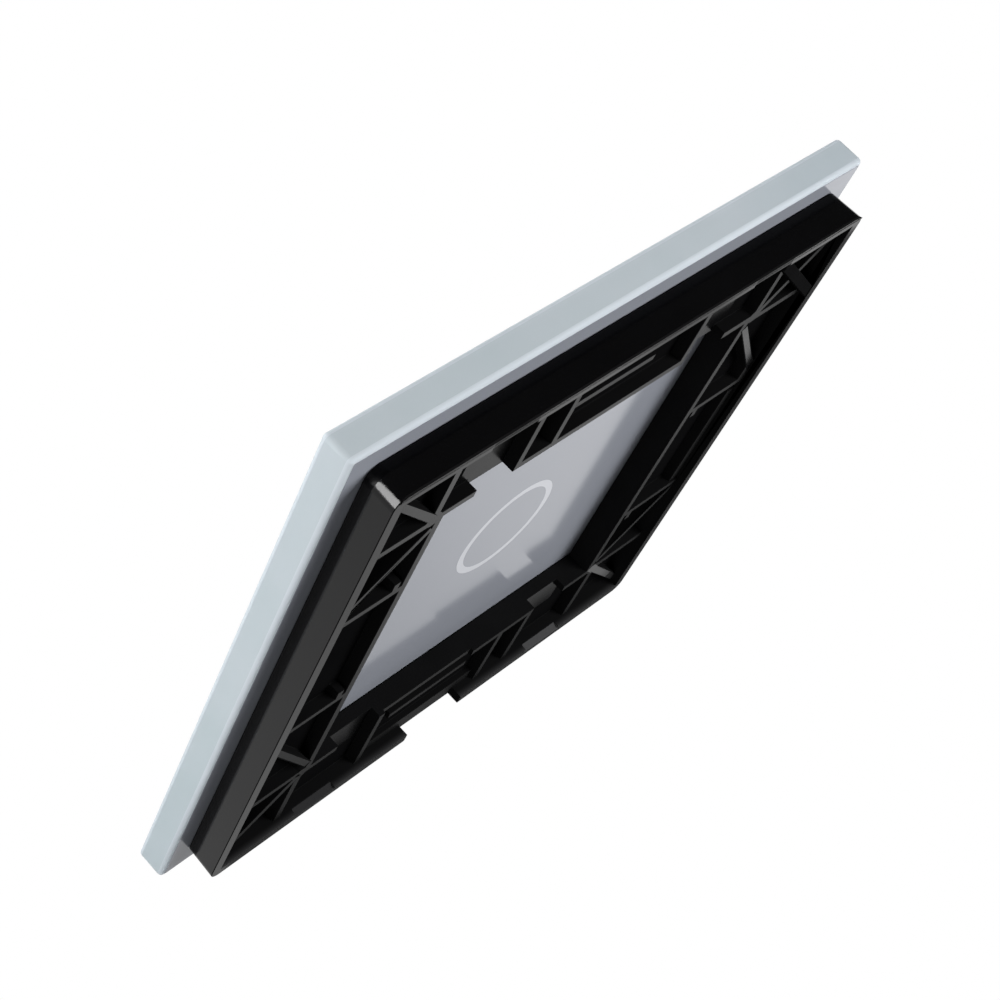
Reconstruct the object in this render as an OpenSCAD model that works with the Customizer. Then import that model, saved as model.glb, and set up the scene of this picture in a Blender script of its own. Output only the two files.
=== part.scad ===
// Glass face panel of a touch light switch: a glass plate printed on its back,
// with a ribbed plastic frame taped behind it that clips over the switch module.
// Each piece is drawn lying on its face, with x across, y up and z towards the wall,
// counted from the back of the glass. on_wall() then stands it up: the front looks
// along -Y, +Z is up, and the origin is the middle of the frame's rim, on the wall.

/* [Glass] */
// Side of the square glass plate
glass_side = 80; // [78:0.5:90]
// Thickness of the glass
glass_thickness = 3.9; // [3:0.1:6]
// Radius of the plate's corners
glass_corner_radius = 0.8; // [0.7:0.1:5]
// Ground arris along both edges of the glass
glass_arris = 0.55; // [0.2:0.05:0.65]

/* [Print on the back of the glass] */
// Thickness of the fired enamel
print_thickness = 0.05; // [0.03:0.01:0.2]
// Bare border between the enamel and the arris
print_border = 0.05; // [0:0.05:1]
// Outer diameter of the translucent touch ring
ring_outer_diameter = 14.6; // [8:0.2:30]
// Width of the touch ring's line
ring_line = 1; // [0.6:0.1:3]

/* [Tape] */
// Thickness of the double-sided tape
tape_thickness = 0.1; // [0.05:0.05:0.5]
// Width of each strip
tape_width = 8; // [4:0.5:9]
// Gap from the outside of the frame to the tape
tape_inset = 2.2; // [1:0.1:3]
// Gap between one strip's end and the next strip
tape_gap = 0.8; // [0.2:0.1:3]

/* [Frame] */
// Outer side of the square frame
frame_side = 74.2; // [73:0.1:76]
// Radius of the frame's outer corners
frame_corner_radius = 1.7; // [0.5:0.1:3]
// Depth of the frame, from the tape to the rim on the wall
frame_depth = 4.2; // [3.7:0.05:8]
// Thickness of the outer wall
outer_wall = 1.5; // [1:0.1:1.7]
// Thickness of the plate that the tape holds
plate_thickness = 1.75; // [1.2:0.05:1.9]
// Distance from the rim down to the tops of the ribs
rib_drop = 1; // [0.6:0.05:1.4]

/* [Module opening] */
// Width of the opening that the switch module fills
opening_width = 48.9; // [47.5:0.1:49.8]
// Height of the opening
opening_height = 48.9; // [47.5:0.1:49.8]
// Thickness of the wall round the opening
opening_wall = 1.1; // [0.8:0.1:1.6]

/* [Ribs] */
// Thickness of the straight ribs and braces
rib = 1; // [0.6:0.05:1.3]
// Thickness of the ribs round the corner cells and of the corner ribs
cell_rib = 1.1; // [0.8:0.05:1.6]
// How far the upright cell ribs stand outside the middle of the opening's side walls
cell_rib_out = 1.05; // [0:0.05:2]
// How far the level cell ribs stand inside the middle of the opening's top and bottom walls
cell_rib_in = 0.45; // [0:0.05:0.8]
// Radius of the web where the ribs meet at the opening's corners
web_radius = 1.15; // [0.8:0.05:2]
// Distance from the middle to the far rib of a side bay
side_rib_far = 12.65; // [11:0.05:13]
// Distance from the middle to the near rib of a side bay
side_rib_near = 8.15; // [6:0.05:8.7]
// Distance from the middle to the far rib of the pair in the top and bottom bays
pair_rib_far = 13.9; // [12:0.1:14.3]
// Distance from the middle to the near rib of that pair
pair_rib_near = 8.5; // [7:0.1:10]
// Distance from the middle to the single rib on the other side
single_rib = 12.8; // [11:0.1:14]
// Where the steeper brace of a side bay meets the outer wall
steep_brace_foot = 9.05; // [8.9:0.05:12]
// Where the flatter brace of a side bay meets the outer wall
flat_brace_foot = 13; // [12.8:0.1:16]
// Distance from the corner web down to the heads of both braces
brace_head = 1.85; // [1:0.05:3]
// Depth of the gusset between the steeper brace and the rib above it
gusset_depth = 1.5; // [0.8:0.1:3]
// How far that gusset runs past the foot of the brace
gusset_tail = 2.5; // [2.1:0.1:3]

/* [Low ribs and ledges] */
// Distance from the rim down to the low ribs
low_rib_drop = 1.65; // [1.5:0.05:2.2]
// Distance from the opening's wall out to the low ribs
low_rib_offset = 3.75; // [2.5:0.05:6]
// Length of the low rib that starts at the pair of ribs
low_rib_length = 14.8; // [8:0.1:16]
// Length of the low rib that ends free
free_rib_length = 13.6; // [8:0.1:15]
// Gap from the near rib to the free low rib
free_rib_gap = 4.1; // [2:0.1:6]
// Depth of the ledges inside the outer wall
ledge_depth = 1.5; // [1:0.1:3]
// Length of the ledge in each side bay
side_ledge_length = 18.7; // [10:0.1:20]
// Length of the stubs beside the side ribs
stub_length = 1.7; // [1:0.1:2.5]
// Length of the dip in the opening's bottom wall
dip_length = 15.3; // [5:0.1:18]
// Depth of that dip
dip_depth = 0.45; // [0.1:0.05:0.8]

/* [Latch notches and lead-ins] */
// Distance from the middle to the far end of the latch notches, which start at the ribs
notch_end = 20.1; // [17:0.1:22]
// Distance from the middle to the near end of a lead-in
lead_in_start = 17.4; // [16:0.1:18]
// Width of a lead-in
lead_in_width = 6.4; // [4:0.1:7]
// How far a lead-in cuts back the rim
lead_in_cut = 0.8; // [0.3:0.05:0.9]

/* [Pry slot and key rib] */
// Width of the slot in the bottom edge for prying the panel off
pry_width = 9.6; // [6:0.1:14]
// Depth of the pry slot from the rim
pry_depth = 1.7; // [1:0.05:2]
// Thickness of the tall rib across one corner cell
key_rib = 1.4; // [0.8:0.1:2]
// Distance from the rim down to the top of that rib
key_rib_drop = 0.15; // [0.05:0.05:0.5]
// Where that rib meets the top wall, from the middle
key_rib_x = 22.7; // [21:0.1:26]
// Where it meets the side wall, from the middle
key_rib_y = 24; // [22:0.1:27]

/* [Hidden] */
$fn = 64;

// Heights above the back of the glass
frame_z = print_thickness + tape_thickness;
plate_z = frame_z + plate_thickness;
rim_z = frame_z + frame_depth;
rib_z = rim_z - rib_drop;
low_rib_z = rim_z - low_rib_drop;

// Distances from the middle
frame_half = frame_side / 2;
frame_inner = frame_half - outer_wall;
wall_middle = frame_half - outer_wall / 2;
opening_x = opening_width / 2;
opening_y = opening_height / 2;
side_wall_x = opening_x + opening_wall / 2;
end_wall_y = opening_y + opening_wall / 2;
cell_x = side_wall_x + cell_rib_out;
cell_y = end_wall_y - cell_rib_in;
low_rib_y = opening_y + opening_wall + low_rib_offset;

// Print and tape
print_side = glass_side - 2 * (glass_arris + print_border);
print_corner_radius = max(glass_corner_radius - glass_arris - print_border, 0.3);
ring_inner_diameter = ring_outer_diameter - 2 * ring_line;
tape_outer = frame_half - tape_inset;
tape_middle = tape_outer - tape_width / 2;
tape_side_length = 2 * (tape_outer - tape_width - tape_gap);

// Cuts run past the faces that they open by this much
past = 1;

module on_wall() {
    rotate([90, 0, 180]) translate([0, 0, -rim_z]) children();
}

module rounded_square(side, radius) {
    square([side, side - 2 * radius], center = true);
    square([side - 2 * radius, side], center = true);
    for (x = [-1, 1], y = [-1, 1])
        translate([x, y] * (side / 2 - radius)) circle(r = radius);
}

// Half the section of a plate with an arris on both edges
function arris_section(reach) = [
    [0, 0],
    [reach - glass_arris, 0],
    [reach, glass_arris],
    [reach, glass_thickness - glass_arris],
    [reach - glass_arris, glass_thickness],
    [0, glass_thickness]
];

module glass_band() {
    length = glass_side - 2 * glass_corner_radius;
    rotate([90, 0, 0])
        linear_extrude(length, center = true)
            for (flip = [0, 1])
                mirror([flip, 0]) polygon(arris_section(glass_side / 2));
}

module glass_panel() {
    corner = glass_side / 2 - glass_corner_radius;
    color([0.72, 0.80, 0.79]) on_wall() translate([0, 0, -glass_thickness]) {
        glass_band();
        rotate([0, 0, 90]) glass_band();
        for (x = [-1, 1], y = [-1, 1])
            translate([x * corner, y * corner])
                rotate_extrude() polygon(arris_section(glass_corner_radius));
    }
}

module rear_coat() {
    color([0.68, 0.69, 0.72]) on_wall() linear_extrude(print_thickness) {
        difference() {
            rounded_square(print_side, print_corner_radius);
            circle(d = ring_outer_diameter);
        }
        circle(d = ring_inner_diameter);
    }
}

module touch_ring() {
    color([0.90, 0.91, 0.94]) on_wall() linear_extrude(print_thickness)
        difference() {
            circle(d = ring_outer_diameter);
            circle(d = ring_inner_diameter);
        }
}

module strip(length, middle, angle) {
    color([0.86, 0.85, 0.80]) on_wall()
        translate([0, 0, print_thickness])
            rotate([0, 0, angle]) translate([0, middle])
                linear_extrude(tape_thickness) square([length, tape_width], center = true);
}

module adhesive_top() { strip(2 * tape_outer, tape_middle, 0); }
module adhesive_bottom() { strip(2 * tape_outer, tape_middle, 180); }
module adhesive_left() { strip(tape_side_length, tape_middle, 90); }
module adhesive_right() { strip(tape_side_length, tape_middle, 270); }

// A rib standing on the plate, from one point to another
module rib_between(from, to, thickness, top) {
    run = to - from;
    translate([from.x, from.y, frame_z])
        rotate([0, 0, atan2(run.y, run.x)])
            translate([0, -thickness / 2]) cube([norm(run), thickness, top - frame_z]);
}

// A block standing on the plate, given by two opposite corners
module block(low, high, top) {
    translate([low.x, low.y, frame_z]) cube([high.x - low.x, high.y - low.y, top - frame_z]);
}

module outer_shell() {
    translate([0, 0, frame_z]) difference() {
        linear_extrude(frame_depth) rounded_square(frame_side, frame_corner_radius);
        translate([0, 0, plate_thickness])
            linear_extrude(frame_depth) square(2 * frame_inner, center = true);
    }
}

// The wall round the opening
module opening_walls() {
    for (side = [-1, 1]) {
        rib_between([side * side_wall_x, -end_wall_y], [side * side_wall_x, end_wall_y], opening_wall, rib_z);
        rib_between([-cell_x, side * end_wall_y], [cell_x, side * end_wall_y], opening_wall, rib_z);
    }
}

// Three ribs from each corner of the opening out to the outer wall
module corner_ribs() {
    for (x = [-1, 1], y = [-1, 1]) {
        start = [x * cell_x, y * end_wall_y];
        rib_between([x * cell_x, y * cell_y], [x * cell_x, y * wall_middle], cell_rib, rib_z);
        rib_between([x * cell_x, y * cell_y], [x * wall_middle, y * cell_y], cell_rib, rib_z);
        rib_between(start, start + [x, y] * (wall_middle - cell_x), cell_rib, rib_z);
        translate([start.x, start.y, frame_z]) cylinder(r = web_radius, h = rib_z - frame_z);
    }
}

// Ribs, braces, gusset, ledge and stubs of the bay on the left, seen from behind
module side_bay() {
    brace_x = -(side_wall_x + cell_x) / 2;
    brace_y = end_wall_y - brace_head;
    rib_between([-wall_middle, side_rib_far], [-side_wall_x, side_rib_far], rib, rib_z);
    rib_between([-wall_middle, -side_rib_near], [-side_wall_x, -side_rib_near], rib, rib_z);
    rib_between([-wall_middle, -steep_brace_foot], [brace_x, -brace_y], rib, rib_z);
    rib_between([-wall_middle, flat_brace_foot], [brace_x, brace_y], rib, rib_z);
    block([-frame_inner - past / 2, -steep_brace_foot - gusset_tail],
          [-frame_inner + gusset_depth, -side_rib_near], rib_z);
    block([-frame_inner - past / 2, side_rib_far - side_ledge_length],
          [-frame_inner + ledge_depth, side_rib_far], rib_z - rib / 4);
    for (y = [side_rib_far, -side_rib_near])
        block([-side_wall_x - ledge_depth - rib / 2, y],
              [-side_wall_x - ledge_depth + rib / 2, y + stub_length], rib_z);
}

// Ribs of the bay at the top, seen from behind
module end_bay() {
    for (x = [-pair_rib_far, -pair_rib_near, single_rib])
        rib_between([x, end_wall_y], [x, wall_middle], rib, rib_z);
}

// Low ribs along the top and bottom bays, and the ledge behind the pry slot
module low_ribs() {
    block([-pair_rib_near, low_rib_y - rib / 2],
          [-pair_rib_near + low_rib_length, low_rib_y + rib / 2], low_rib_z);
    block([pair_rib_near - free_rib_gap - free_rib_length, -low_rib_y - rib / 2],
          [pair_rib_near - free_rib_gap, -low_rib_y + rib / 2], low_rib_z);
    block([-single_rib, -frame_inner - past / 2], [pair_rib_near, -frame_inner + ledge_depth],
          rim_z - pry_depth);
}

// A taller rib across one corner cell, which tells the two ways up apart
module corner_key() {
    rib_between([key_rib_x, wall_middle], [wall_middle, key_rib_y], key_rib, rim_z - key_rib_drop);
}

// Notches in the opening's wall where the module's latches spring in
module latch_notches() {
    for (start = [pair_rib_far, single_rib], turn = [0, 180]) {
        side = start == single_rib ? 1 : -1;
        low = start + rib / 2;
        rotate([0, 0, turn])
            translate([side > 0 ? low : -notch_end, end_wall_y - opening_wall / 2 - past, plate_z])
                cube([notch_end - low, opening_wall + 2 * past, frame_depth]);
    }
}

// The dip in the opening's bottom wall
module wall_dip() {
    translate([-single_rib + rib / 2, -end_wall_y - opening_wall / 2 - past, rib_z - dip_depth])
        cube([dip_length, opening_wall + 2 * past, frame_depth]);
}

// Slopes on the inner edge of the rim that guide the latches in
module lead_ins() {
    for (x = [-lead_in_start - lead_in_width, lead_in_start], turn = [0, 180])
        rotate([0, 0, turn])
            translate([x, frame_inner, rim_z])
                rotate([90, 0, 90])
                    linear_extrude(lead_in_width)
                        polygon([[-past, -rib_drop], [0, -rib_drop], [lead_in_cut, 0],
                                 [lead_in_cut, past], [-past, past]]);
}

module pry_slot() {
    translate([-pry_width / 2, -frame_half - past, rim_z - pry_depth])
        cube([pry_width, outer_wall + past, pry_depth + past]);
}

module rear_frame() {
    color([0.09, 0.09, 0.10]) on_wall() difference() {
        union() {
            outer_shell();
            opening_walls();
            corner_ribs();
            for (turn = [0, 180]) rotate([0, 0, turn]) {
                side_bay();
                end_bay();
            }
            low_ribs();
            corner_key();
        }
        translate([-opening_x, -opening_y, frame_z - past])
            cube([opening_width, opening_height, frame_depth + 2 * past]);
        latch_notches();
        wall_dip();
        lead_ins();
        pry_slot();
    }
}

glass_panel();
rear_coat();
touch_ring();
rear_frame();
adhesive_top();
adhesive_bottom();
adhesive_left();
adhesive_right();
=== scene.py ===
"""Glass face panel of a touch light switch, seen from behind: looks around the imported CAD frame."""

import math

import bmesh
import bpy
from mathutils import Matrix, Vector


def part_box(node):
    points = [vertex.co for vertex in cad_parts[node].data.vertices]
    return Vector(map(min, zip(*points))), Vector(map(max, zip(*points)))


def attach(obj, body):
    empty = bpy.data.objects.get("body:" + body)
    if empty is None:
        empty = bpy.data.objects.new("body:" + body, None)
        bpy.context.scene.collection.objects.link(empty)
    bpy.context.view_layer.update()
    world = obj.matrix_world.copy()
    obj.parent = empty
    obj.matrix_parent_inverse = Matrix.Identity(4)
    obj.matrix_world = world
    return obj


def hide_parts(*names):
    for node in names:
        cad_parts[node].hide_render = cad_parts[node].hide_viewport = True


MM = 0.001

# Heights: the rim is at 0 and the glass lies below
KEY_RIB_TOP = -0.15 * MM
RIM_LOWEST = -0.5 * MM
PLATE_HIGHEST = -2.3 * MM
# Below this the frame's outer wall is duller and painted darker: painted shade
DULL_SHADED_FOOT_HIGHEST = -2.95 * MM
FRAME_BACK_HIGHEST = -4.1 * MM
# Distances from the middle
OUTER_WALL_NEAREST = 36 * MM
TOP_RIM_NEAREST = 34 * MM
TOP_EDGE_NEAREST = 36.9 * MM
FRAME_BACK_NEAREST = 35.3 * MM
PRINT_EDGE_NEAREST = 39 * MM
RIM_INNER_EDGE = 35.6 * MM
DRAWN_LEAD_IN_EDGE = 36.4 * MM
LEAD_IN_MIDDLE = 20.6 * MM
# How much narrower and lower the frame is at the glass than at its rim
DRAFT_ACROSS = 0.0050
DRAFT_UPWARD = 0.0030
# Where the lead-ins meet the rim, from the middle: they come out steeper than drawn
LEAD_IN_EDGE = 36.0 * MM
# Bare glass that the drawing leaves between the enamel and the arris
BARE_BORDER = 0.05 * MM
# How deep the prints' front faces reach into the glass
PRINT_SINK = 0.02 * MM
GLASS_CORNER_RADIUS = 0.6 * MM
GLASS_ARRIS = 0.55 * MM
# Glass faces larger than this, in square metres, are flat; the rest are rounded
SMALL_FACE = 100 * MM * MM
FRAME_EDGE_RADIUS = 0.25 * MM
# Which part of that radius an edge gets: the rim's upper outer edge, and the others
FULL_SOFTNESS = 1.0
SLIGHT_SOFTNESS = 0.35
# The order of the finishes on the glass and on the frame
POLISHED, EDGE, ARRIS = 0, 1, 2
WALL, TOP, INNER = 0, 1, 2

FLOOR_HEIGHT = -0.30
FLOOR_REACH = 6.0
# How bright the floor looks in a reflection, by its place along X from -1 m to 1 m
FLOOR_SHEEN = (
    (0.25, 0.93), (0.36, 0.63), (0.378, 0.49), (0.40, 0.23),
    (0.41, 0.15), (0.45, 0.17), (0.50, 0.20), (0.58, 0.29))

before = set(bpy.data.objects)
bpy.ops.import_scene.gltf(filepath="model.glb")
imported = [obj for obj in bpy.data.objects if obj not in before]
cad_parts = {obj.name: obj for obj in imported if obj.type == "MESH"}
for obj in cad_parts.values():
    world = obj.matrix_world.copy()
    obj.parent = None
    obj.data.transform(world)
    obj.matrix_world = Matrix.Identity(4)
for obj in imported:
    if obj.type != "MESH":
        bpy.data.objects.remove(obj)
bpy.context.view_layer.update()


# --- Camera ---------------------------------------------------------------

def make_camera():
    lens = bpy.data.cameras.new("camera")
    lens.sensor_width = 36.0
    lens.lens = 78.7205
    lens.clip_start = 0.01
    lens.clip_end = 20.0
    camera = bpy.data.objects.new("camera", lens)
    camera.location = (0.150377, 0.053089, 0.184342)
    camera.rotation_mode = "QUATERNION"
    camera.rotation_quaternion = (0.3133619, 0.2677945, 0.2341724, 0.880485)
    bpy.context.scene.collection.objects.link(camera)
    bpy.context.scene.camera = camera


# --- Shader maths ---------------------------------------------------------

class Value:
    """A socket that holds one number, so that shader maths reads as plain expressions."""

    def __init__(self, finish, socket):
        self.finish = finish
        self.socket = socket

    def maths(self, operation, other, swapped=False, clamp=False):
        first, second = (other, self) if swapped else (self, other)
        settings = {"operation": operation, "use_clamp": clamp}
        return self.finish.node("Math", settings, {0: first, 1: second})

    def __add__(self, other):
        return self.maths("ADD", other)

    __radd__ = __add__

    def __sub__(self, other):
        return self.maths("SUBTRACT", other)

    def __rsub__(self, other):
        return self.maths("SUBTRACT", other, swapped=True)

    def __mul__(self, other):
        return self.maths("MULTIPLY", other)

    __rmul__ = __mul__

    def __gt__(self, other):
        return self.maths("GREATER_THAN", other)

    def __lt__(self, other):
        return self.maths("LESS_THAN", other)

    def __abs__(self):
        return self.maths("ABSOLUTE", 0.0)

    def clamped(self):
        return self.maths("ADD", 0.0, clamp=True)

    def rise(self, start, width):
        """0 before the start, then evenly up to 1 over that width.

        A negative width runs the other way.
        """
        return ((self - start) * (1 / width)).clamped()

    def near(self, place, reach):
        """1 within that reach of a place, 0 elsewhere."""
        return abs(self - place) < reach


class Finish:
    """A procedural material, with one method that adds any node."""

    def __init__(self, name):
        self.material = bpy.data.materials.new(name)
        self.material.use_nodes = True
        self.tree = self.material.node_tree
        self.tree.nodes.clear()
        self.output = self.tree.nodes.new("ShaderNodeOutputMaterial")

    def node(self, kind, settings=None, inputs=None, out=0):
        made = self.tree.nodes.new("ShaderNode" + kind)
        for name, value in (settings or {}).items():
            if name == "stops":
                ramp = made.color_ramp
                while len(ramp.elements) < len(value):
                    ramp.elements.new(0.5)
                for element, (position, colour) in zip(ramp.elements, value):
                    element.position = position
                    element.color = (*colour, 1.0)
            else:
                setattr(made, name, value)
        for name, value in (inputs or {}).items():
            socket = made.inputs[name]
            if isinstance(value, Value):
                self.tree.links.new(value.socket, socket)
            else:
                socket.default_value = value
        return Value(self, made.outputs[out])

    def object_place(self):
        return self.node("TexCoord", out="Object")

    def axes(self):
        """The X, Y and Z of a point, in the object's own frame."""
        place = self.object_place()
        return [self.node("SeparateXYZ", {}, {"Vector": place}, out=axis) for axis in range(3)]

    def band(self, start, end, width):
        """1 on a straight band from one point of the XZ plane to another, 0 elsewhere."""
        x, _, z = self.axes()
        length = math.dist(start, end)
        along_x = (end[0] - start[0]) / length
        along_z = (end[1] - start[1]) / length
        along = (x - start[0]) * along_x + (z - start[1]) * along_z
        across = (x - start[0]) * along_z - (z - start[1]) * along_x
        return (abs(across) < width / 2) * (along > 0.0) * (along < length)

    def noise(self, size, detail, stretch=(1.0, 1.0, 1.0)):
        """Noise from 0 to 1 whose blobs are about that many metres wide."""
        place = self.node("Mapping", {}, {"Vector": self.object_place(), "Scale": stretch})
        return self.node("TexNoise", {"noise_dimensions": "3D"},
                         {"Vector": place, "Scale": 1.0 / size, "Detail": detail, "Roughness": 0.5})

    def mix(self, factor, low, high):
        return self.node("Mix", {"data_type": "RGBA"}, {0: factor, 6: low, 7: high}, out=2)

    def bump(self, height, strength, distance):
        return self.node("Bump", {}, {"Height": height, "Strength": strength, "Distance": distance})

    def surface(self, **inputs):
        """A Principled shader; an underscore in an input's name stands for a space."""
        named = {name.replace("_", " "): value for name, value in inputs.items()}
        return self.node("BsdfPrincipled", {}, named)

    def blend(self, factor, first, second):
        return self.node("MixShader", {}, {0: factor, 1: first, 2: second})

    def finished(self, shader):
        """The material, with that shader on its surface."""
        self.tree.links.new(shader.socket, self.output.inputs["Surface"])
        return self.material


def polished_black():
    """The frame's outer walls, from polished steel; the foot beside the glass is duller and painted
    darker, a painted shade.
    """
    paint = Finish("polished_black_plastic")
    smear = paint.noise(9 * MM, detail=4.0)
    grain = paint.noise(0.35 * MM, detail=2.0)
    bump = paint.bump(grain, 0.08, 0.02 * MM)
    wall = paint.surface(
        Base_Color=paint.mix(smear, (0.0024, 0.0024, 0.0026, 1.0), (0.0038, 0.0038, 0.0042, 1.0)),
        Roughness=smear * 0.06 + 0.04,
        IOR=1.5,
        Specular_IOR_Level=0.4,
        Normal=bump)
    # painted shade: the foot is painted darker and duller than the wall above it
    foot = paint.surface(
        Base_Color=paint.mix(smear, (0.0014, 0.0014, 0.0017, 1.0), (0.0024, 0.0024, 0.0029, 1.0)),
        Roughness=smear * 0.06 + 0.16,
        IOR=1.5,
        Specular_IOR_Level=0.07,
        Normal=bump)
    _, y, _ = paint.axes()
    return paint.finished(paint.blend(y < DULL_SHADED_FOOT_HIGHEST, wall, foot))


def satin_black():
    """The rim and the tops of the ribs, glossiest along the top and the left.

    The plate between them is matt but for a spot behind each notch.
    """
    paint = Finish("satin_black_plastic")
    smear = paint.noise(6 * MM, detail=4.0)
    grain = paint.noise(0.25 * MM, detail=2.0)
    x, y, z = paint.axes()

    rim = y > RIM_LOWEST
    rib = (y > PLATE_HIGHEST) * (1 - rim)
    plate = 1 - rim - rib
    top_rim = rim * (z > TOP_RIM_NEAREST)
    low = z.rise(40 * MM, -70 * MM)
    right = x.rise(10 * MM, -40 * MM)

    glossy_rim = (x.rise(33.5 * MM, 2 * MM) + z.rise(33.5 * MM, 2 * MM)).clamped()
    rim_dull = (1 - glossy_rim) * 0.46 + right * 0.05
    rib_dull = low * 0.34 + low * low * 0.14 + right * 0.16
    steep_brace = paint.band((-36.35 * MM, 9.05 * MM), (-25.5 * MM, 23.15 * MM), 1.1 * MM)
    low_corner_rib = paint.band((-25.2 * MM, -24.2 * MM), (-33.0 * MM, -32.0 * MM), 1.3 * MM)
    burnish = 1 - (steep_brace + low_corner_rib) * 0.8
    dull = rim * rim_dull + rib * rib_dull * burnish + plate * 0.08
    satin = paint.surface(
        Base_Color=paint.mix(smear, (0.0024, 0.0024, 0.0026, 1.0), (0.0040, 0.0040, 0.0043, 1.0)),
        Roughness=(smear * 0.08 + 0.14 + dull).clamped(),
        IOR=1.5,
        Specular_IOR_Level=0.18,
        Normal=paint.bump(grain, 0.10, 0.02 * MM))
    matt = paint.surface(
        Base_Color=paint.mix(smear, (0.0032, 0.0032, 0.0034, 1.0), (0.0054, 0.0054, 0.0057, 1.0)),
        Roughness=smear * 0.15 + 0.7,
        IOR=1.5,
        Specular_IOR_Level=0.0,
        Normal=paint.bump(grain, 0.35, 0.02 * MM))

    behind_notches = abs(x).near(17.5 * MM, 4.2 * MM) * abs(z).near(27 * MM, 3 * MM)
    matt_plate = plate * (1 - behind_notches * ((z > 0.0) * 0.2 + 0.5))
    high_ribs = rib * z.rise(15 * MM, 15 * MM) * x.rise(22 * MM, -8 * MM)
    rubbed_rim = top_rim * abs(x + 7 * MM).rise(14 * MM, -10 * MM)
    lead_ins = top_rim * abs(x).near(LEAD_IN_MIDDLE, 3.2 * MM)
    matt_share = matt_plate + high_ribs * 0.3 + rubbed_rim * 0.42 + lead_ins * 0.45
    return paint.finished(paint.blend(matt_share.clamped(), satin, matt))


def eroded_black():
    """The frame's inner surfaces, from spark-eroded steel.

    Their colour is painted paler on the lead-ins, more where X is below zero, and on the lower wall
    towards the rim: a painted highlight on the lead-ins and painted light on the lower wall.
    """
    paint = Finish("eroded_black_plastic")
    smear = paint.noise(7 * MM, detail=4.0)
    grain = paint.noise(0.16 * MM, detail=3.0)
    x, y, z = paint.axes()
    lead_in = abs(z).near(36.1 * MM, 0.45 * MM) * abs(x).near(LEAD_IN_MIDDLE, 3.25 * MM)
    towards_rim = y.rise(-1.0 * MM, 1.0 * MM)
    lower_wall = z.near(-RIM_INNER_EDGE, 0.04 * MM) * towards_rim * towards_rim
    # painted light: the lead-ins and the lower wall towards the rim are painted paler where light falls
    # on them
    painted_light = lead_in * ((x < 0.0) * 0.6 + 0.4) + lower_wall * 0.65
    colour = paint.mix(smear, (0.0052, 0.0052, 0.0054, 1.0), (0.0088, 0.0088, 0.0091, 1.0))
    return paint.finished(paint.surface(
        Base_Color=paint.mix(painted_light.clamped(), colour, (0.068, 0.068, 0.070, 1.0)),
        Roughness=smear * 0.15 + 0.55,
        IOR=1.5,
        Specular_IOR_Level=0.0,
        Normal=paint.bump(grain, 0.35, 0.02 * MM)))


def grey_enamel():
    paint = Finish("grey_enamel_rear")
    cloud = paint.noise(14 * MM, detail=3.0)
    speck = paint.noise(0.5 * MM, detail=2.0)
    return paint.finished(paint.surface(
        Base_Color=paint.mix(cloud, (0.318, 0.335, 0.380, 1.0), (0.337, 0.355, 0.401, 1.0)),
        Roughness=cloud * 0.05 + 0.10,
        IOR=1.5,
        Specular_IOR_Level=0.8,
        Normal=paint.bump(speck, 0.05, 0.01 * MM)))


def white_enamel():
    paint = Finish("white_enamel_front")
    cloud = paint.noise(20 * MM, detail=2.0)
    return paint.finished(paint.surface(
        Base_Color=paint.mix(cloud, (0.74, 0.77, 0.77, 1.0), (0.77, 0.80, 0.80, 1.0)),
        Roughness=0.5,
        IOR=1.5))


def ring_enamel():
    paint = Finish("translucent_ring_enamel")
    cloud = paint.noise(3 * MM, detail=2.0)
    return paint.finished(paint.surface(
        Base_Color=paint.mix(cloud, (0.60, 0.615, 0.665, 1.0), (0.64, 0.655, 0.705, 1.0)),
        Roughness=0.15,
        IOR=1.5))


def polished_glass():
    paint = Finish("polished_glass")
    ripple = paint.noise(30 * MM, detail=1.0)
    return paint.finished(paint.surface(
        Base_Color=(0.955, 0.985, 0.98, 1.0),
        Roughness=0.0,
        IOR=1.52,
        Transmission_Weight=1.0,
        Normal=paint.bump(ripple, 0.02, 0.05 * MM)))


def ground_glass(name, low, high, roughness, gloss):
    """Glass ground matt, in soft clouds of tone; its colour is painted paler towards its upper end, a
    painted light falloff.
    """
    paint = Finish(name)
    cloud = paint.noise(12 * MM, detail=4.0)
    grind = paint.noise(0.25 * MM, detail=3.0)
    _, _, z = paint.axes()
    # painted light: the colour rises towards the upper end, where the lamps light the edge more; the
    # clouds are the glass's own tone
    clouds_and_painted_light = cloud * 0.9 + (z + 40 * MM) * (0.35 / (80 * MM)) - 0.125
    return paint.finished(paint.surface(
        Base_Color=paint.mix(clouds_and_painted_light.clamped(), low, high),
        Roughness=cloud * 0.12 + roughness,
        IOR=1.52,
        Specular_IOR_Level=gloss,
        Transmission_Weight=0.25,
        Normal=paint.bump(grind, 0.25, 0.02 * MM)))


def tape_film():
    paint = Finish("double_sided_tape")
    fibre = paint.noise(0.8 * MM, detail=4.0, stretch=(1.0, 1.0, 6.0))
    return paint.finished(paint.surface(
        Base_Color=paint.mix(fibre, (0.60, 0.58, 0.50, 1.0), (0.72, 0.70, 0.63, 1.0)),
        Roughness=0.6,
        Normal=paint.bump(fibre, 0.3, 0.05 * MM)))


# --- Pieces ---------------------------------------------------------------

def add_piece(name, shape, finishes, slot, *nodes):
    mesh = bpy.data.meshes.new(name)
    shape.to_mesh(mesh)
    shape.free()
    if "custom_normal" in mesh.attributes:
        mesh.attributes.remove(mesh.attributes["custom_normal"])
    for finish in finishes:
        mesh.materials.append(finish)
    piece = bpy.data.objects.new(name, mesh)
    bpy.context.scene.collection.objects.link(piece)
    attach(piece, "root")
    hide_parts(*nodes)
    return piece


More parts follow.
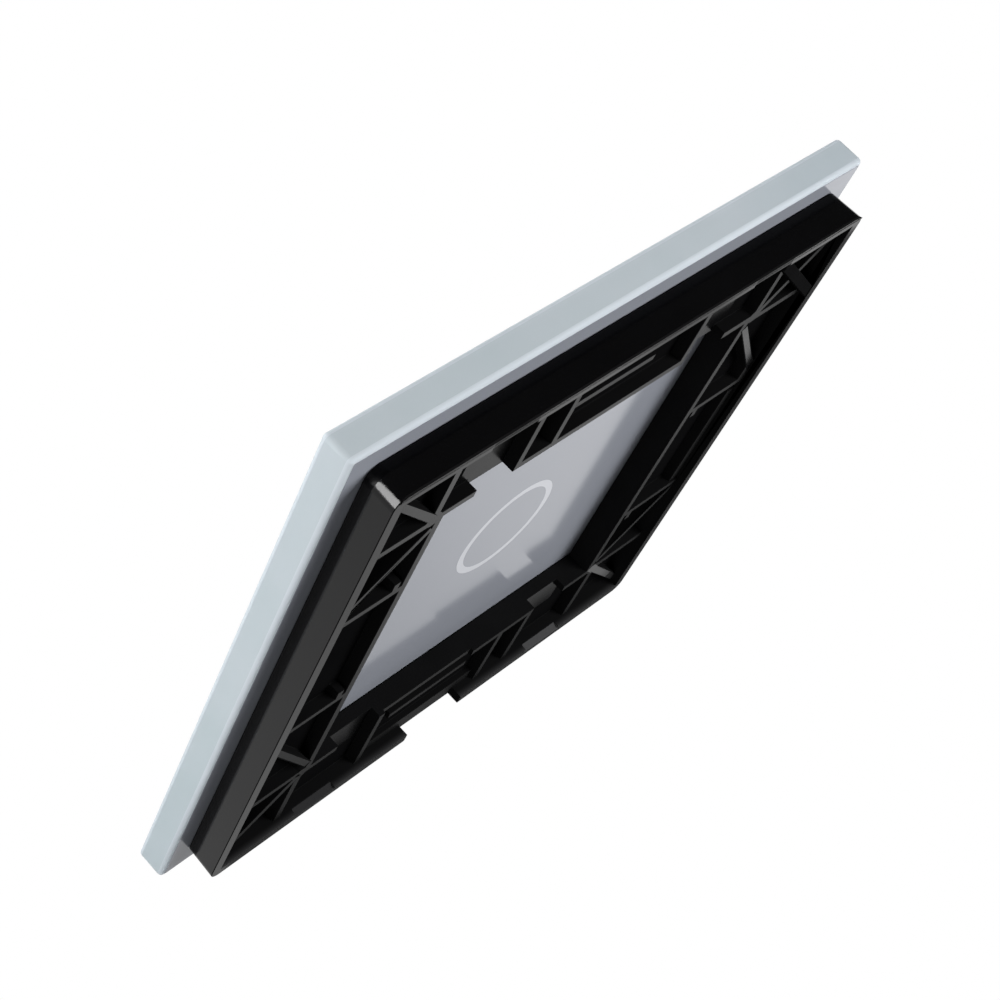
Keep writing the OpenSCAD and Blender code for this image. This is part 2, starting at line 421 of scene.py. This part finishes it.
def merged_copy(node):
    """A CAD node's mesh with its loose triangles joined and its flat faces made whole."""
    shape = bmesh.new()
    shape.from_mesh(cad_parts[node].data)
    bmesh.ops.remove_doubles(shape, verts=shape.verts, dist=0.002 * MM)
    bmesh.ops.dissolve_limit(shape, angle_limit=math.radians(1.0), verts=shape.verts, edges=shape.edges)
    return shape


def is_level(edge):
    return abs(edge.verts[0].co.y - edge.verts[1].co.y) < 1e-7


def is_round(face, width):
    """Whether a face is one of the narrow upright strips that a round wall is cut into."""
    if abs(face.normal.y) > 0.1 or len(face.verts) != 4:
        return False
    level = [e.calc_length() for e in face.edges if is_level(e)]
    return len(level) == 2 and max(level) < width


def reach_of(place):
    """How far a place lies from the middle, across or upward, whichever is more."""
    return max(abs(place.x), abs(place.z))


def build_glass(polished, edge, arris):
    low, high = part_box("glass_panel")
    size = high - low
    shape = bmesh.new()
    bmesh.ops.create_cube(shape, size=1.0)
    bmesh.ops.scale(shape, vec=size, verts=shape.verts)
    bmesh.ops.translate(shape, vec=(low + high) / 2, verts=shape.verts)
    upright = [e for e in shape.edges if not is_level(e)]
    bmesh.ops.bevel(shape, geom=upright, offset=GLASS_CORNER_RADIUS, affect="EDGES",
                    segments=8, profile=0.5, material=-1)
    rims = [e for e in shape.edges if is_level(e) and e.calc_face_angle() > math.radians(30)]
    bmesh.ops.bevel(shape, geom=rims, offset=GLASS_ARRIS, affect="EDGES",
                    segments=5, profile=0.5, material=-1)
    for face in shape.faces:
        tilt = abs(face.normal.y)
        face.material_index = POLISHED if tilt > 0.999 else ARRIS if tilt > 0.1 else EDGE
        face.smooth = face.calc_area() < SMALL_FACE
    add_piece("glass_plate", shape, [polished, edge, arris], "glass", "glass_panel")


def build_print(name, node, slot, rear, front):
    """A printed layer, without a gap to the glass.

    Its front face is sunk a hair into the glass, and its outer edge reaches the arris.
    """
    shape = merged_copy(node)
    front_y = min(v.co.y for v in shape.verts)
    for vert in shape.verts:
        if vert.co.y < front_y + 0.001 * MM:
            vert.co.y -= PRINT_SINK
        reach = reach_of(vert.co)
        if reach > PRINT_EDGE_NEAREST:
            vert.co.x *= 1 + BARE_BORDER / reach
            vert.co.z *= 1 + BARE_BORDER / reach
    for face in shape.faces:
        face.material_index = 1 if face.normal.y < -0.5 else 0
    add_piece(name, shape, [rear, front], slot, node)


def frame_finish(face):
    """Which of the frame's three finishes a face has."""
    middle = face.calc_center_median()
    faces_outward = middle.x * face.normal.x + middle.z * face.normal.z > 0
    if abs(face.normal.y) < 0.5 and faces_outward and reach_of(middle) > OUTER_WALL_NEAREST:
        return WALL
    if face.normal.y > 0.9 and abs(middle.y - KEY_RIB_TOP) > 0.05 * MM:
        return TOP
    return INNER


def build_frame(polished, satin, eroded):
    shape = merged_copy("rear_frame")
    for vert in shape.verts:
        if vert.co.y < FRAME_BACK_HIGHEST and reach_of(vert.co) > FRAME_BACK_NEAREST:
            vert.co.x *= 1 - DRAFT_ACROSS
            vert.co.z *= 1 - DRAFT_UPWARD
        from_lead_in = abs(abs(vert.co.z) - DRAWN_LEAD_IN_EDGE)
        if from_lead_in < 0.02 * MM and abs(vert.co.y) < 0.02 * MM:
            vert.co.z *= LEAD_IN_EDGE / abs(vert.co.z)
    shape.normal_update()
    for face in shape.faces:
        face.smooth = is_round(face, 1.1 * MM)
        face.material_index = frame_finish(face)
    softness = shape.edges.layers.float.new("bevel_weight_edge")
    for edge in shape.edges:
        if len(edge.link_faces) == 2 and edge.calc_face_angle() > math.radians(40):
            finishes = sorted(face.material_index for face in edge.link_faces)
            along_top = min(vert.co.z for vert in edge.verts) > TOP_EDGE_NEAREST
            full = finishes == [WALL, TOP] and along_top
            edge[softness] = FULL_SOFTNESS if full else SLIGHT_SOFTNESS
    piece = add_piece("moulded_frame", shape, [polished, satin, eroded], "frame", "rear_frame")
    soften = piece.modifiers.new("soft_edges", "BEVEL")
    soften.width = FRAME_EDGE_RADIUS
    soften.segments = 3
    soften.material = INNER
    soften.limit_method = "WEIGHT"
    soften.use_clamp_overlap = False
    soften.harden_normals = True


# --- Floor and light ------------------------------------------------------

def make_floor():
    shape = bmesh.new()
    bmesh.ops.create_grid(shape, x_segments=1, y_segments=1, size=FLOOR_REACH)
    bmesh.ops.translate(shape, vec=(0.0, 0.0, FLOOR_HEIGHT), verts=shape.verts)
    mesh = bpy.data.meshes.new("floor")
    shape.to_mesh(mesh)
    shape.free()
    floor = bpy.data.objects.new("floor", mesh)
    bpy.context.scene.collection.objects.link(floor)
    paint = Finish("pale_floor")
    plain = paint.node("BsdfDiffuse", {}, {"Color": (0.32, 0.32, 0.32, 1.0)})
    glow = paint.node("Emission", {}, {"Color": (1.0, 1.0, 1.0, 1.0), "Strength": 1.0})
    camera = paint.node("LightPath", out="Is Camera Ray")
    through = paint.node("LightPath", out="Is Transmission Ray")
    glossy = paint.node("LightPath", out="Is Glossy Ray")
    x, _, _ = paint.axes()
    stops = [(place, (grey, grey, grey)) for place, grey in FLOOR_SHEEN]
    sheen = paint.node("ValToRGB", {"stops": stops}, {"Fac": x * 0.5 + 0.5})
    share = (camera + through * 0.6 + glossy * sheen).clamped()
    mesh.materials.append(paint.finished(paint.blend(share, plain, glow)))


def make_world():
    """White to the camera, dim to everything else."""
    world = bpy.data.worlds.new("studio")
    world.use_nodes = True
    bpy.context.scene.world = world
    tree = world.node_tree
    tree.nodes.clear()
    dim = tree.nodes.new("ShaderNodeBackground")
    dim.inputs["Color"].default_value = (1.0, 1.0, 1.0, 1.0)
    dim.inputs["Strength"].default_value = 0.02
    white = tree.nodes.new("ShaderNodeBackground")
    white.inputs["Color"].default_value = (1.0, 1.0, 1.0, 1.0)
    white.inputs["Strength"].default_value = 1.0
    path = tree.nodes.new("ShaderNodeLightPath")
    mixed = tree.nodes.new("ShaderNodeMixShader")
    output = tree.nodes.new("ShaderNodeOutputWorld")
    tree.links.new(path.outputs["Is Camera Ray"], mixed.inputs[0])
    tree.links.new(dim.outputs[0], mixed.inputs[1])
    tree.links.new(white.outputs[0], mixed.inputs[2])
    tree.links.new(mixed.outputs[0], output.inputs["Surface"])


def add_softbox(name, direction, distance, width, height, radiance):
    """An area light that looks at the object, its height towards Y.

    Its power follows from how bright its face looks.
    """
    lamp = bpy.data.lights.new(name, "AREA")
    lamp.shape = "RECTANGLE"
    lamp.size = width
    lamp.size_y = height
    lamp.energy = radiance * math.pi * width * height
    box = bpy.data.objects.new(name, lamp)
    back = Vector(direction).normalized()
    across = Vector((0.0, 1.0, 0.0)).cross(back).normalized()
    up = back.cross(across)
    place = Matrix((across, up, back)).transposed().to_4x4()
    place.translation = back * distance
    box.matrix_world = place
    bpy.context.scene.collection.objects.link(box)


make_camera()
make_floor()
make_world()
add_softbox("corner_softbox", (0.903, -0.283, 0.322), 1.5, 1.60, 0.34, 11.2)
add_softbox("fill_softbox", (0.84, 0.28, 0.30), 0.6, 0.36, 0.36, 2.1)
add_softbox("rear_softbox", (-0.51, 0.71, 0.48), 0.5, 0.34, 0.34, 8.4)
add_softbox("low_softbox", (0.45, 0.55, -0.70), 0.33, 0.22, 0.22, 0.6)
add_softbox("front_softbox", (0.08, -0.95, 0.20), 1.2, 0.9, 0.6, 6.0)

grey = grey_enamel()
white = white_enamel()
ring = ring_enamel()
build_glass(polished_glass(),
            ground_glass("ground_glass_edge", (0.465, 0.555, 0.583, 1.0), (0.590, 0.640, 0.688, 1.0),
                         0.42, 0.12),
            ground_glass("ground_glass_arris", (0.60, 0.665, 0.715, 1.0), (0.68, 0.735, 0.79, 1.0),
                         0.55, 0.08))
build_print("enamel_coat", "rear_coat", "coat", grey, white)
build_print("enamel_ring", "touch_ring", "ring", ring, ring)
build_frame(polished_black(), satin_black(), eroded_black())
tape = tape_film()
for strip in ("adhesive_top", "adhesive_bottom", "adhesive_left", "adhesive_right"):
    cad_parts[strip].data.materials.clear()
    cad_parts[strip].data.materials.append(tape)

bpy.context.scene.view_settings.view_transform = "Standard"
